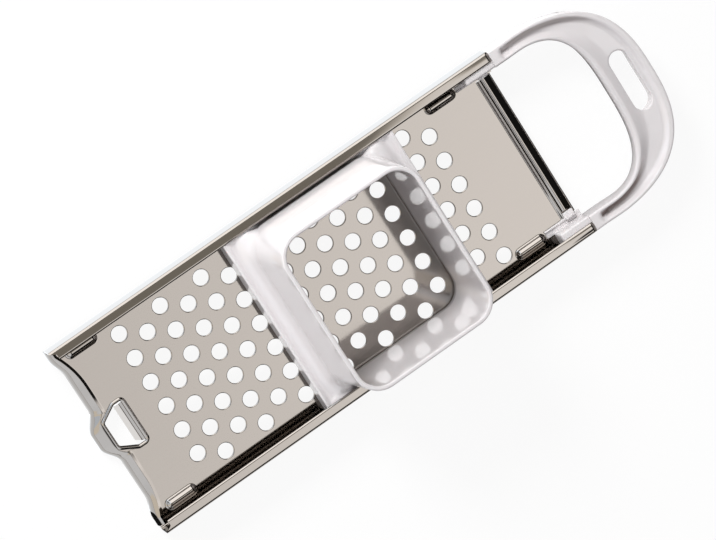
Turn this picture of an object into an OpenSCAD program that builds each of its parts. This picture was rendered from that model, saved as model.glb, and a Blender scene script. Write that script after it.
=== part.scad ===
// Spaetzle maker: a perforated steel tray with folded side rails, a plastic hopper
// that slides in the rails, and a plastic bow handle pushed into the rail ends.
// +X runs from the pot hook to the handle, +Y is the left rail, +Z is up.
// The origin is on the underside of the tray, at the middle of the hole pattern.

/* [Tray] */
// Width over the two rails
tray_w = 112.6; // [104:0.1:124]
// Distance from the origin to the hook end of the rails
front_len = 133; // [130:1:145]
// Distance from the origin to the handle end of the rails
rear_len = 142.5; // [140:0.5:155]
// Thickness of the steel sheet
sheet_t = 1; // [0.6:0.1:1.3]
// Height of the rails above the tray's upper face
rail_h = 13.5; // [11:0.5:16]
// Width of the lip that folds inward at the top of each rail
lip_w = 5.9; // [4.5:0.1:7]
// Outside radius of the folds along the rails
fold_r = 1.6; // [1.5:0.1:2.4]
// Corner cut off each lip at the hook end
lip_chamfer = 3.5; // [1:0.5:5]

/* [Holes] */
// Diameter of a hole
hole_d = 8.5; // [6:0.1:10]
// Distance between holes in one column
hole_pitch = 15; // [13:0.1:16]
// Distance between neighbouring columns
column_step = 12.8; // [11:0.1:12.9]
// Number of columns
hole_columns = 16; // [8:1:16]
// Holes in each column
hole_rows = 6; // [3:1:6]

/* [Stop beads] */
// Width of a stamped bead
bead_w = 5.4; // [4:0.1:6]
// Height of a bead above the tray's upper face
bead_h = 2.2; // [1.6:0.1:2.7]
// Length of a bead
bead_l = 18; // [12:0.5:18.5]
// Distance from the origin to the inner end of the beads at the hook
front_stop = 106.5; // [104:0.5:110]
// Distance from the origin to the inner end of the beads at the handle
rear_stop = 101.5; // [101:0.5:102]
// Distance of the beads at the hook from the middle line
front_bead_y = 47.7; // [45:0.1:48]
// Distance of the beads at the handle from the middle line
rear_bead_y = 45.9; // [44:0.1:48]

/* [Pot hook] */
// Depth of the rolled front edge below the tray's upper face
front_drop = 8; // [6:0.5:12]
// Reach of the roll in front of the bend line
front_reach = 6.8; // [5:0.1:9]
// Extra reach of the bulge in the middle
bulge_reach = 5.9; // [3:0.1:8]
// Half width of the bulge
bulge_half = 16; // [12:0.5:20]
// Half width of the window at its narrow front
window_front_half = 7; // [5:0.5:8]
// Half width of the window at the tongue
window_back_half = 13.5; // [10:0.5:16]
// Length of the window
window_l = 13.5; // [11:0.5:15]
// Width of the tongue where it leaves the tray
tongue_w = 24; // [16:1:25]
// Straight length of the tongue below its bend
tongue_l = 6; // [3:0.5:9]
// Angle through which the tongue is bent down
tongue_angle = 65; // [45:1:85]

/* [Rolled end] */
// Height of the ridge across the handle end
ridge_h = 1.2; // [0.6:0.1:2]
// Radius of the roll that turns down behind the ridge
roll_r = 5; // [3:0.5:6]
// Straight skirt below the roll
roll_skirt = 2; // [1:0.5:4]
// Width of each flat strip that carries a handle leg
strip_w = 11.5; // [10:0.1:12.5]

/* [Hopper] */
// Distance from the origin to the middle of the hopper
hopper_x = 25; // [-50:0.1:46]
// Length of the hopper's base along the tray
base_l = 106.5; // [103:0.5:108]
// Height of the hopper's rim above the tray's upper face
hopper_h = 68; // [50:1:80]
// Length of the opening at the foot
mouth_l = 81.6; // [70:0.1:84]
// Gap between the long walls and the lips of the rails
wall_gap = 2; // [1.5:0.1:5]
// How far each wall leans inward from foot to rim
wall_lean = 1.5; // [0:0.1:3]
// Wall thickness
wall_t = 2.4; // [1.6:0.1:2.6]
// Corner radius inside the hopper
corner_r = 12; // [8:0.5:18]
// Radius of the sweep between base and wall
sweep_r = 9; // [4:0.5:9.5]
// Width of the raised edge at each end of the base
brim_w = 1.6; // [1:0.1:1.8]
// Height of the base where it passes beside the walls
runner_h = 4; // [3:0.5:8]
// Running gap between hopper and tray
run_gap = 0.3; // [0.2:0.05:0.5]

/* [Handle] */
// Reach of the bow beyond the rail ends
bow_reach = 71.5; // [60:0.5:85]
// Depth of the finger gap beyond the rail ends
gap_reach = 44.5; // [38:0.5:46]
// Width over the bow
bow_w = 111.6; // [104:0.1:124]
// Width of one leg of the bow
leg_w = 9.2; // [8:0.1:10.5]
// Height of the handle
handle_h = 15.5; // [12:0.5:20]
// Depth of the valley along the top of the bow
valley_depth = 5.5; // [2:0.5:8]
// Width of the raised edges beside the valley
edge_w = 2; // [1:0.1:3]
// Length of a leg inside its rail
leg_in_l = 18; // [10:0.5:20]
// Height of the low foot beside each leg
foot_h = 3.4; // [2.6:0.1:5]
// Length of the hanging slot
slot_l = 35; // [20:1:45]
// Width of the hanging slot
slot_w = 11; // [6:0.5:12]

/* [Hidden] */
$fn = 48;
eps = 0.01;
steel = [0.75, 0.72, 0.69];
white_plastic = [0.95, 0.94, 0.95];

deck_z = sheet_t;
rail_top = deck_z + rail_h;
lip_under = rail_top - sheet_t;
half_w = tray_w / 2;
panel_half = half_w - fold_r;
lip_edge = half_w - lip_w;
mouth_x = mouth_l / 2;
wall_x = mouth_x + wall_t;
wall_y = lip_edge - wall_gap;
mouth_y = wall_y - wall_t;
rail_inner = half_w - sheet_t;

// The bend line of the front roll bows back between the bulge and the rails.
bend_back = 9.5;
bend_fore = 4;
fade_margin = 1;
front_skirt = 2;
corner_fade = 17;
corner_flat = 5;
side_pull = 2.8;
steps_y = 72;
roll_steps = 8;

window_setback = 5.5;
window_front = -front_len + window_setback;
window_back = window_front + window_l;
window_shoulder_l = 4.5;
tongue_inner_r = 1.5;
tongue_bend_r = sheet_t + tongue_inner_r;

end_strip_l = 10.5;
end_recess = 1;
roll_start = rear_len - end_strip_l;
ridge_run = 2.5;
roll_top = deck_z + ridge_h;
roll_end = rear_len - end_recess;
roll_centre = roll_end - roll_r;
strip_y = half_w - fold_r - strip_w;
strip_slit = 0.4;

base_half = base_l / 2;
runner_half = rail_inner - run_gap;
mid_half = lip_edge - 2 * run_gap;
base_z = deck_z + run_gap;
shelf_z = lip_under - run_gap;
brim_z = rail_top - run_gap;
rim_z = deck_z + hopper_h;
trough_slope = 6;

bow_steps = 44;
valley_steps = 8;
outer_power = 2.4;
inner_power = 3.5;
straight_l = 7;
solid_l = 4;
bow_x = rear_len + straight_l;
leg_joint = 1;
foot_extra = 4;
foot_l = leg_in_l + foot_extra;
leg_gap = 0.3;
leg_outer = rail_inner - leg_gap;
leg_inner = bow_w / 2 - leg_w;
foot_gap = 0.1;
foot_inner = strip_y + foot_gap;
nose_r = 3;
tab_l = 6;
tab_reach = 3;
tab_gap = 0.2;
edge_round = 1;
slot_x = rear_len + (bow_reach + gap_reach) / 2;

// 0 below a, 1 above b, smooth between.
function ease(a, b, v) = let (u = min(1, max(0, (v - a) / (b - a)))) u * u * (3 - 2 * u);

// 1 in the middle of the tray, 0 outside the bulge.
function bulge(y) = 1 - ease(bulge_half * 0.25, bulge_half, abs(y));

// 1 at the rails, 0 from corner_fade inward.
function at_rail(y) = ease(panel_half - corner_fade, panel_half - corner_flat, abs(y));

// The line where the front roll starts.
function bend_x(y) = -front_len + bend_back
    - (bend_back - bend_fore)
        * max(at_rail(y), 1 - ease(window_front_half + fade_margin, bulge_half - fade_margin, abs(y)));

// The foremost line of the front roll.
function front_x(y) = -front_len + bend_back - front_reach
    - bulge_reach * bulge(y) - side_pull * at_rail(y);

// A point on a superellipse: x from bow_x to bow_x + reach, y from half to -half.
function bow_point(angle, reach, half, power) = [
    bow_x + reach * pow(abs(cos(angle)), 2 / power),
    half * sign(sin(angle)) * pow(abs(sin(angle)), 2 / power)
];

// Faces of a closed tube made of rings of n points, with both ends capped.
function tube_faces(rings, n) = concat(
    [[for (k = [0 : n - 1]) k]],
    [for (r = [0 : rings - 2], k = [0 : n - 1])
        let (a = r * n + k, b = r * n + (k + 1) % n, c = a + n, d = b + n) each [[a, d, b], [a, c, d]]],
    [[for (k = [n - 1 : -1 : 0]) (rings - 1) * n + k]]
);

module quarter_ring(turn) {
    rotate(turn)
        intersection() {
            difference() {
                circle(fold_r);
                circle(fold_r - sheet_t);
            }
            square(fold_r + 1);
        }
}

// Section of the +Y rail, in Y and Z.
module rail_section() {
    translate([half_w - fold_r, fold_r])
        quarter_ring(-90);
    translate([half_w - sheet_t, fold_r])
        square([sheet_t, rail_top - 2 * fold_r]);
    translate([half_w - fold_r, rail_top - fold_r])
        quarter_ring(0);
    translate([lip_edge, lip_under])
        square([lip_w - fold_r, sheet_t]);
}

module rail() {
    color(steel)
        difference() {
            translate([-front_len, 0, 0])
                rotate([90, 0, 90])
                    linear_extrude(front_len + rear_len)
                        rail_section();
            translate([-front_len, lip_edge, lip_under - 1])
                linear_extrude(sheet_t + 2)
                    polygon([[-1, -1], [lip_chamfer + 1, -1], [-1, lip_chamfer + 1]]);
        }
}

module left_rail() {
    rail();
}

module right_rail() {
    mirror([0, 1, 0])
        rail();
}

// A long bead with round ends, along X from the origin.
module bead(width, height, length) {
    round_r = width / 2;
    translate([round_r, 0, 0])
        rotate([90, 0, 90])
            linear_extrude(length - width)
                intersection() {
                    bead_arc(width, height);
                    translate([-width, 0])
                        square([2 * width, height + 1]);
                }
    for (x = [round_r, length - round_r])
        translate([x, 0, 0])
            rotate_extrude()
                intersection() {
                    bead_arc(width, height);
                    square([width, height + 1]);
                }
}

// The circle through both edges of the bead and its crest.
module bead_arc(width, height) {
    arc_r = (width * width / 4 + height * height) / (2 * height);
    translate([0, height - arc_r])
        circle(arc_r);
}

module hollow_bead(start, y) {
    translate([start, y, deck_z])
        difference() {
            bead(bead_w, bead_h, bead_l);
            translate([sheet_t, 0, -eps])
                bead(bead_w - 2 * sheet_t, bead_h - sheet_t, bead_l - 2 * sheet_t);
        }
}

module bead_hollow_below(start, y) {
    translate([start + sheet_t, y, -eps])
        linear_extrude(sheet_t + 2 * eps)
            translate([bead_w / 2 - sheet_t, 0]) {
                circle(bead_w / 2 - sheet_t);
                translate([bead_l - bead_w, 0])
                    circle(bead_w / 2 - sheet_t);
                translate([0, -bead_w / 2 + sheet_t])
                    square([bead_l - bead_w, bead_w - 2 * sheet_t]);
            }
}

module window_outline() {
    shoulder = window_back - window_shoulder_l;
    polygon([
        [window_front, -window_front_half], [shoulder, -window_back_half],
        [window_back, -window_back_half], [window_back, window_back_half],
        [shoulder, window_back_half], [window_front, window_front_half]
    ]);
}

module panel_outline() {
    front = [for (i = [0 : steps_y])
        let (y = panel_half * (1 - 2 * i / steps_y)) [bend_x(y), y]];
    polygon(concat(front, [
        [rear_len, -panel_half], [rear_len, -strip_y - strip_slit],
        [roll_start, -strip_y - strip_slit], [roll_start, strip_y + strip_slit],
        [rear_len, strip_y + strip_slit], [rear_len, panel_half]
    ]));
}

module holes() {
    first_x = -(hole_columns - 1) / 2 * column_step;
    first_y = -(hole_rows - 0.5) / 2 * hole_pitch;
    for (column = [0 : hole_columns - 1], row = [0 : hole_rows - 1])
        translate([first_x + column * column_step, first_y + (row + 0.5 * ((column + 1) % 2)) * hole_pitch, -1])
            cylinder(h = sheet_t + 2, d = hole_d);
}

module perforated_panel() {
    color(steel) {
        difference() {
            linear_extrude(sheet_t)
                difference() {
                    panel_outline();
                    window_outline();
                }
            holes();
            for (side = [-1, 1]) {
                bead_hollow_below(-front_stop - bead_l, side * front_bead_y);
                bead_hollow_below(rear_stop, side * rear_bead_y);
            }
        }
        for (side = [-1, 1]) {
            hollow_bead(-front_stop - bead_l, side * front_bead_y);
            hollow_bead(rear_stop, side * rear_bead_y);
        }
    }
}

// One section of the front roll at y: a quarter roll and a short skirt, one sheet thick.
function roll_ring(y) = let (
    reach = bend_x(y) - front_x(y),
    turn_z = front_drop - front_skirt,
    low = deck_z - front_drop
) concat(
    [for (i = [0 : roll_steps]) let (a = 90 * i / roll_steps)
        [bend_x(y) - reach * sin(a), y, deck_z - turn_z * (1 - cos(a))]],
    [[front_x(y), y, low], [front_x(y) + sheet_t, y, low]],
    [for (i = [roll_steps : -1 : 0]) let (a = 90 * i / roll_steps)
        [bend_x(y) - (reach - sheet_t) * sin(a), y,
            deck_z - sheet_t - (turn_z - sheet_t) * (1 - cos(a))]]
);

module front_roll() {
    ring_n = 2 * roll_steps + 4;
    rings = [for (i = [0 : steps_y]) roll_ring(panel_half * (1 - 2 * i / steps_y))];
    color(steel)
        polyhedron([for (ring = rings) each ring], tube_faces(steps_y + 1, ring_n), convexity = 6);
}

// Side view of the tongue: a bend below the tray and a straight end.
module tongue_section() {
    bend_z = deck_z - tongue_bend_r;
    translate([window_back, bend_z]) {
        intersection() {
            difference() {
                circle(tongue_bend_r);
                circle(tongue_bend_r - sheet_t);
            }
            polygon([
                [0, 0], [0, 3 * tongue_bend_r], [-3 * tongue_bend_r, 3 * tongue_bend_r],
                [-3 * tongue_bend_r * sin(tongue_angle), 3 * tongue_bend_r * cos(tongue_angle)]
            ]);
        }
        rotate(tongue_angle)
            translate([-tongue_l, tongue_bend_r - sheet_t])
                square([tongue_l + eps, sheet_t]);
    }
}

module hook_tongue() {
    tip_w = tongue_w * 0.6;
    run = window_l;
    reach = tongue_l + 2 * tongue_bend_r;
    color(steel)
        intersection() {
            translate([0, tongue_w / 2, 0])
                rotate([90, 0, 0])
                    linear_extrude(tongue_w)
                        tongue_section();
            translate([0, 0, -reach])
                linear_extrude(2 * reach)
                    polygon([
                        [window_back, -tongue_w / 2], [window_back, tongue_w / 2],
                        [window_back - run, tip_w / 2], [window_back - run, -tip_w / 2]
                    ]);
        }
}

// Side view of the handle end: a ridge, then a roll that turns down.
module end_section() {
    outer = [for (i = [0 : roll_steps]) let (a = 90 - 90 * i / roll_steps)
        [roll_centre + roll_r * cos(a), roll_top - roll_r + roll_r * sin(a)]];
    inner = [for (i = [roll_steps : -1 : 0]) let (a = 90 - 90 * i / roll_steps, r = roll_r - sheet_t)
        [roll_centre + r * cos(a), roll_top - roll_r + r * sin(a)]];
    skirt_z = roll_top - roll_r - roll_skirt;
    polygon(concat(
        [[roll_start, 0], [roll_start, deck_z], [roll_start + ridge_run, roll_top]],
        outer,
        [[roll_end, skirt_z], [roll_end - sheet_t, skirt_z]],
        inner,
        [[roll_start + ridge_run, roll_top - sheet_t]]
    ));
}

module rolled_end() {
    color(steel)
        translate([0, strip_y, 0])
            rotate([90, 0, 0])
                linear_extrude(2 * strip_y)
                    end_section();
}

// A rectangle with round corners, given by its half sizes.
module round_rect(half_x, half_y, r) {
    for (x = [-1, 1], y = [-1, 1])
        translate([x * (half_x - r), y * (half_y - r)])
            circle(r);
    square([2 * half_x, 2 * (half_y - r)], center = true);
    square([2 * (half_x - r), 2 * half_y], center = true);
}

// A block with round corners that narrows towards the rim, grown by a margin.
module tapered_block(margin, low, high) {
    hull()
        for (z = [low, high]) {
            lean = wall_lean * (z - deck_z) / hopper_h;
            translate([0, 0, z])
                linear_extrude(eps)
                    round_rect(mouth_x - lean + margin, mouth_y - lean + margin, corner_r + margin);
        }
}

module sweep_section() {
    inside = 1;
    difference() {
        translate([-inside, 0])
            square([sweep_r + inside, sweep_r]);
        translate([sweep_r, sweep_r])
            circle(sweep_r);
    }
}

// The concave sweep from the base up to the walls, round both ends.
module sweep() {
    outer_r = corner_r + wall_t;
    intersection() {
        translate([0, 0, shelf_z])
            for (end = [0, 180])
                rotate(end) {
                    translate([wall_x, wall_y - outer_r, 0])
                        rotate([90, 0, 0])
                            linear_extrude(2 * (wall_y - outer_r))
                                sweep_section();
                    for (side = [-1, 1])
                        translate([wall_x - outer_r, side * (wall_y - outer_r), 0])
                            rotate(side > 0 ? 0 : -90)
                                rotate_extrude(angle = 90)
                                    translate([outer_r, 0])
                                        sweep_section();
                }
        translate([-base_half + brim_w, -mid_half, 0])
            cube([base_l - 2 * brim_w, 2 * mid_half, rim_z]);
    }
}

module base() {
    translate([-base_half, -runner_half, base_z])
        cube([base_l, 2 * runner_half, shelf_z - base_z]);
    for (end = [-base_half, base_half - brim_w])
        translate([end, -mid_half, base_z])
            cube([brim_w, 2 * mid_half, brim_z - base_z]);
}

// The low stretch of the base between each long wall and its rail.
module trough() {
    long = mouth_x - corner_r;
    low = base_z + runner_h;
    for (side = [0, 180])
        rotate(side)
            translate([0, runner_half + 1, 0])
                rotate([90, 0, 0])
                    linear_extrude(runner_half + 1 - wall_y)
                        polygon([
                            [-long, low], [long, low], [long + trough_slope, shelf_z + 1],
                            [long + trough_slope, rim_z], [-long - trough_slope, rim_z],
                            [-long - trough_slope, shelf_z + 1]
                        ]);
}

module hopper() {
    color(white_plastic)
        translate([hopper_x, 0, 0])
            difference() {
                union() {
                    difference() {
                        union() {
                            base();
                            sweep();
                        }
                        trough();
                    }
                    tapered_block(wall_t, base_z + 1, rim_z - eps);
                }
                tapered_block(0, base_z - 2, rim_z + 1);
            }
}

// One section of the bow: outer edge o, inner edge i, valley of the given depth.
function bow_ring(o, i, depth) = let (
    width = norm(i - o),
    d = (i - o) / width,
    rim = o + d * edge_w,
    across = width - 2 * edge_w,
    top = handle_h,
    r = edge_round
) concat(
    [[each o + d * r, 0], [each o, r], [each o, top - r], [each o + d * r, top]],
    [for (k = [0 : valley_steps]) let (f = k / valley_steps)
        [each rim + d * across * f, top - depth * pow(sin(180 * f), 0.8)]],
    [[each i - d * r, top], [each i, top - r], [each i, r], [each i - d * r, 0]]
);

module bow() {
    outer_half = bow_w / 2;
    inner_half = outer_half - leg_w;
    angles = [for (k = [0 : bow_steps]) 90 - 180 * k / bow_steps];
    bend = [for (a = angles) bow_ring(
        bow_point(a, bow_reach - straight_l, outer_half, outer_power),
        bow_point(a, gap_reach - straight_l, inner_half, inner_power),
        valley_depth)];
    lead_in = [for (x = [rear_len, rear_len + solid_l])
        bow_ring([x, outer_half], [x, inner_half], 0)];
    lead_out = [for (x = [rear_len + solid_l, rear_len])
        bow_ring([x, -outer_half], [x, -inner_half], 0)];
    rings = concat(lead_in, bend, lead_out);
    polyhedron([for (ring = rings) each ring], tube_faces(len(rings), valley_steps + 9), convexity = 6);
}

// The part of the handle inside the +Y rail: a leg, a low foot and a tab over the rolled end.
module leg() {
    joined = rear_len + leg_joint;
    translate([rear_len - leg_in_l, leg_inner, deck_z])
        linear_extrude(lip_under - deck_z)
            difference() {
                square([joined - rear_len + leg_in_l, leg_outer - leg_inner]);
                difference() {
                    square(nose_r);
                    translate([nose_r, nose_r])
                        circle(nose_r);
                }
            }
    translate([rear_len - foot_l, foot_inner, deck_z])
        cube([foot_l + joined - rear_len, leg_inner - foot_inner + leg_joint, foot_h]);
    translate([roll_centre - tab_l / 2, foot_inner - tab_reach, roll_top + tab_gap])
        cube([tab_l, tab_reach + leg_joint, deck_z + foot_h - roll_top - tab_gap]);
}

module hanging_slot() {
    reach = (slot_l - slot_w) / 2;
    for (y = [-reach, reach])
        translate([slot_x, y, -1])
            cylinder(h = handle_h + 2, d = slot_w);
    translate([slot_x - slot_w / 2, -reach, -1])
        cube([slot_w, 2 * reach, handle_h + 2]);
}

module handle() {
    color(white_plastic)
        difference() {
            union() {
                bow();
                leg();
                mirror([0, 1, 0])
                    leg();
            }
            hanging_slot();
        }
}

perforated_panel();
left_rail();
right_rail();
front_roll();
hook_tongue();
rolled_end();
hopper();
handle();
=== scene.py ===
# %% [markdown]
# # A spaetzle maker in steel and white plastic
#
# The tool lies across a pot. Dough goes into the white hopper, and sliding the hopper to and
# fro pushes it through the holes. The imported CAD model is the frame: it fixes every size and
# place, and each surface below is worked out from it. All lengths are in metres, with +X from
# the pot hook to the handle, +Y to the left rail and +Z up.

# %% Load the frame
import math

import bmesh
import bpy
import numpy as np
from mathutils import Matrix, Vector
from mathutils.geometry import delaunay_2d_cdt


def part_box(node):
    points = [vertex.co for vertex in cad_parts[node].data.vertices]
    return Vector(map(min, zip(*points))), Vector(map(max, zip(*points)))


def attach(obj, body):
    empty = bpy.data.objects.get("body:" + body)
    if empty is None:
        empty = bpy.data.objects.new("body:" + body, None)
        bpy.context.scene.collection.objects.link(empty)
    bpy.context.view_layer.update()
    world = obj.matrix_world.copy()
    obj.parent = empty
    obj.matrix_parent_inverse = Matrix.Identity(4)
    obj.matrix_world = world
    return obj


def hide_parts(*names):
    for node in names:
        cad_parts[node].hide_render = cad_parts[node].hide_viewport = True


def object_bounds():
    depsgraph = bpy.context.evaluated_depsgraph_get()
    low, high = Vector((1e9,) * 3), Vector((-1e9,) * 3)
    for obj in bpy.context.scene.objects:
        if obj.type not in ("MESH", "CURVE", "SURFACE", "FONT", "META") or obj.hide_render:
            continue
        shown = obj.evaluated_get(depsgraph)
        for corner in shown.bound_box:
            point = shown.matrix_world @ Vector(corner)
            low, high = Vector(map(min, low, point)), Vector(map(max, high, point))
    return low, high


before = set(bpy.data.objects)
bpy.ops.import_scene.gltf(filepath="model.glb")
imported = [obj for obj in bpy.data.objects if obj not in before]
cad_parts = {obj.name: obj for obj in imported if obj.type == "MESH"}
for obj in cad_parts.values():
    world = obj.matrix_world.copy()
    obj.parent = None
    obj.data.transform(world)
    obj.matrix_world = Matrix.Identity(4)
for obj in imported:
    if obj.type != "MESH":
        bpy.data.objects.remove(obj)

cad_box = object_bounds()
MM = 0.001
print("CAD box", [tuple(round(c, 4) for c in corner) for corner in cad_box])

# %% [markdown]
# ## Sizes
#
# What the frame can say is read from the boxes of its nodes, so a change of the CAD model
# carries over. A box can't tell a radius or the depth of a valley, so those few sizes are
# written again here as named values.

# %% Sizes from the frame
panel_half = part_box("perforated_panel")[1].y
rail_low, rail_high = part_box("left_rail")
end_low, end_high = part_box("rolled_end")
hopper_low, hopper_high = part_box("hopper")
handle_low, handle_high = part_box("handle")

front_x, rear_x = rail_low.x, rail_high.x
half_w, lip_edge, rail_top = rail_high.y, rail_low.y, rail_high.z
fold_r = half_w - panel_half
hopper_x = (hopper_low.x + hopper_high.x) / 2
base_half, runner_half = (hopper_high.x - hopper_low.x) / 2, hopper_high.y
base_z, rim_z = hopper_low.z, hopper_high.z
bow_tip, bow_half, handle_top = handle_high.x, handle_high.y, handle_high.z
print(f"rails {rear_x - front_x:.4f} m long, {2 * half_w:.4f} m apart; rim at {rim_z:.4f} m")

# %% Sizes that boxes can't tell
sheet_t = 1.0 * MM
deck_z = sheet_t
hole_d, hole_pitch, column_step = 8.5 * MM, 15.0 * MM, 12.8 * MM
hole_columns, hole_rows = 16, 6
bead_w, bead_h, bead_l = 5.4 * MM, 2.2 * MM, 18.0 * MM
front_stop, rear_stop = 106.5 * MM, 101.5 * MM
front_bead_y, rear_bead_y = 47.7 * MM, 45.9 * MM
lip_cut = 3.5 * MM

mouth_l, mouth_w = 81.6 * MM, 92.0 * MM
wall_lean, wall_t, corner_r = 1.5 * MM, 2.4 * MM, 12.0 * MM
sweep_r, brim_w, runner_h = 9.0 * MM, 1.6 * MM, 4.0 * MM
run_gap = 0.3 * MM

leg_w, edge_w, valley_depth, valley_run = 9.2 * MM, 1.5 * MM, 3.8 * MM, 3.1 * MM
gap_reach = 44.5 * MM
straight_l = 7.0 * MM
slot_l, slot_w = 35.0 * MM, 11.0 * MM
print(f"{hole_columns * hole_rows} holes of {hole_d / MM:.1f} mm, {hole_pitch / MM:.0f} mm apart")

# %% [markdown]
# ## Meshes from arrays
#
# A surface is an array of points and an array of faces. The helpers below turn a grid of
# points into quads, and a list of meshes into a piece that rides on its body, stands for its
# CAD node and knows its material slot. Modelling with modifiers would work too, but an array
# takes every size straight from the frame.

# %% Grids and meshes
weld = 1e-6


def grid_faces(rows, columns, closed_rows=False, closed_columns=False):
    """Quads between neighbours of a rows x columns grid of points, numbered row by row."""
    r = np.arange(rows if closed_rows else rows - 1)
    c = np.arange(columns if closed_columns else columns - 1)
    r, c = [a.ravel() for a in np.meshgrid(r, c, indexing="ij")]
    r2, c2 = (r + 1) % rows, (c + 1) % columns
    return np.stack([r * columns + c, r * columns + c2, r2 * columns + c2, r2 * columns + c], 1)


def make_mesh(name, points, faces, sharp=38):
    """A mesh with doubles merged and normals outwards; edges over `sharp` degrees are hard."""
    mesh = bpy.data.meshes.new(name)
    mesh.from_pydata(np.asarray(points, float).tolist(), [], [list(map(int, f)) for f in faces])
    bm = bmesh.new()
    bm.from_mesh(mesh)
    bmesh.ops.remove_doubles(bm, verts=bm.verts, dist=weld)
    bmesh.ops.recalc_face_normals(bm, faces=bm.faces)
    bm.to_mesh(mesh)
    bm.free()
    mesh.shade_smooth()
    mesh.set_sharp_from_angle(angle=math.radians(sharp))
    return mesh


print("a grid of 3 x 4 points has", len(grid_faces(3, 4)), "quads")


# %% Pieces and eased steps
def add_piece(name, meshes, body, material, nodes):
    """Joins meshes into one object that rides on `body` and stands for the CAD `nodes`."""
    joined = bpy.data.meshes.new(name)
    bm = bmesh.new()
    for mesh in meshes:
        bm.from_mesh(mesh)
    bm.to_mesh(joined)
    bm.free()
    piece = bpy.data.objects.new(name, joined)
    bpy.context.scene.collection.objects.link(piece)
    joined.materials.append(material)
    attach(piece, body)
    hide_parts(*nodes)
    print(f"{name}: {len(joined.vertices)} points, {len(joined.polygons)} faces")
    return piece


def ease(a, b, value):
    """0 up to a, 1 from b on, and 3u^2 - 2u^3 between, for arrays."""
    u = np.clip((value - a) / (b - a), 0, 1)
    return u * u * (3 - 2 * u)


print("an eased step at a quarter of its way has reached", ease(0, 1, 0.25))

# %% [markdown]
# ## Steel
#
# The sheet is stainless steel with a soft satin face: it mirrors the hopper's walls, but
# blurs what is further off. The colour is a warm grey, set on the shader itself, and the
# bright room that it mirrors lifts it to a light one. Rolling leaves a fine grain along the
# sheet. A picture of brushed metal could give it, but a noise stretched along X has no seams:
# it gives the bump and moves the roughness a little, and a wide noise adds faint clouds.

# %% Steel material
steel_colour = (0.285, 0.26, 0.238, 1)
grain_scale, grain_stretch, grain_bump = 90, (0.25, 14, 14), 0.008
cloud_scale = 22
grain_roughness, cloud_roughness = (-0.012, 0.012), (0.06, 0.09)
noise_low, noise_high = 0.3, 0.7
evenly = (1, 1, 1)


def new_material(name):
    """A node material, with its nodes, its links and its shader."""
    material = bpy.data.materials.new(name)
    material.use_nodes = True
    nodes = material.node_tree.nodes
    return material, nodes, material.node_tree.links, nodes["Principled BSDF"]


def stretched_noise(nodes, links, scale, stretch, detail):
    """A noise on Object coordinates, scaled by `stretch` along each axis first."""
    place = nodes.new("ShaderNodeTexCoord")
    mapping = nodes.new("ShaderNodeMapping")
    mapping.inputs["Scale"].default_value = stretch
    noise = nodes.new("ShaderNodeTexNoise")
    noise.inputs["Scale"].default_value = scale
    noise.inputs["Detail"].default_value = detail
    links.new(place.outputs["Object"], mapping.inputs["Vector"])
    links.new(mapping.outputs["Vector"], noise.inputs["Vector"])
    return noise.outputs["Fac"]


def ranged(nodes, links, value, low, high):
    """Maps a noise, which mostly lies from noise_low to noise_high, to the range low to high."""
    node = nodes.new("ShaderNodeMapRange")
    node.inputs["From Min"].default_value = noise_low
    node.inputs["From Max"].default_value = noise_high
    node.inputs["To Min"].default_value = low
    node.inputs["To Max"].default_value = high
    links.new(value, node.inputs["Value"])
    return node.outputs["Result"]


def bump(nodes, links, height, strength, distance, shader):
    """Tilts the shader's normals by the slope of a height."""
    node = nodes.new("ShaderNodeBump")
    node.inputs["Strength"].default_value = strength
    node.inputs["Distance"].default_value = distance
    links.new(height, node.inputs["Height"])
    links.new(node.outputs["Normal"], shader.inputs["Normal"])


def satin_steel():
    """A metal whose roughness is the clouds' range plus the grain's, with the grain as bump."""
    material, nodes, links, shader = new_material("satin_steel")
    shader.inputs["Base Color"].default_value = steel_colour
    shader.inputs["Metallic"].default_value = 1.0
    grain = stretched_noise(nodes, links, grain_scale, grain_stretch, 3)
    clouds = stretched_noise(nodes, links, cloud_scale, evenly, 2)
    mix = nodes.new("ShaderNodeMath")
    mix.operation = "ADD"
    links.new(ranged(nodes, links, grain, *grain_roughness), mix.inputs[0])
    links.new(ranged(nodes, links, clouds, *cloud_roughness), mix.inputs[1])
    links.new(mix.outputs[0], shader.inputs["Roughness"])
    bump(nodes, links, grain, grain_bump, 0.1 * MM, shader)
    return material


steel = satin_steel()
print(steel.name, "has", len(steel.node_tree.nodes), "nodes")

# %% [markdown]
# ## White plastic
#
# Hopper and handle are moulded in a glossy white plastic. Light enters it a little, which
# softens the shade on the faces turned away, so there is a small subsurface share. Moulded
# faces are never quite flat: a wide, shallow noise bends the gloss, and a fine one keeps the
# roughness from being even. Shade is painted along banks of the handle's narrow valleys, as a
# dark colour that a value on the mesh, called groove, mixes in: only the shape knows its grooves.

# %% White plastic material
# The second colour is painted shade, mixed in by the groove value.
clean_colour, painted_shade_colour = (0.86, 0.83, 0.835, 1), (0.22, 0.165, 0.15, 1)
gloss_scale, gloss_roughness = 160, (0.07, 0.11)
wave_scale, wave_bump, wave_h = 35, 0.05, 1.5 * MM
light_share, light_reach = 0.12, 3 * MM


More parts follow.
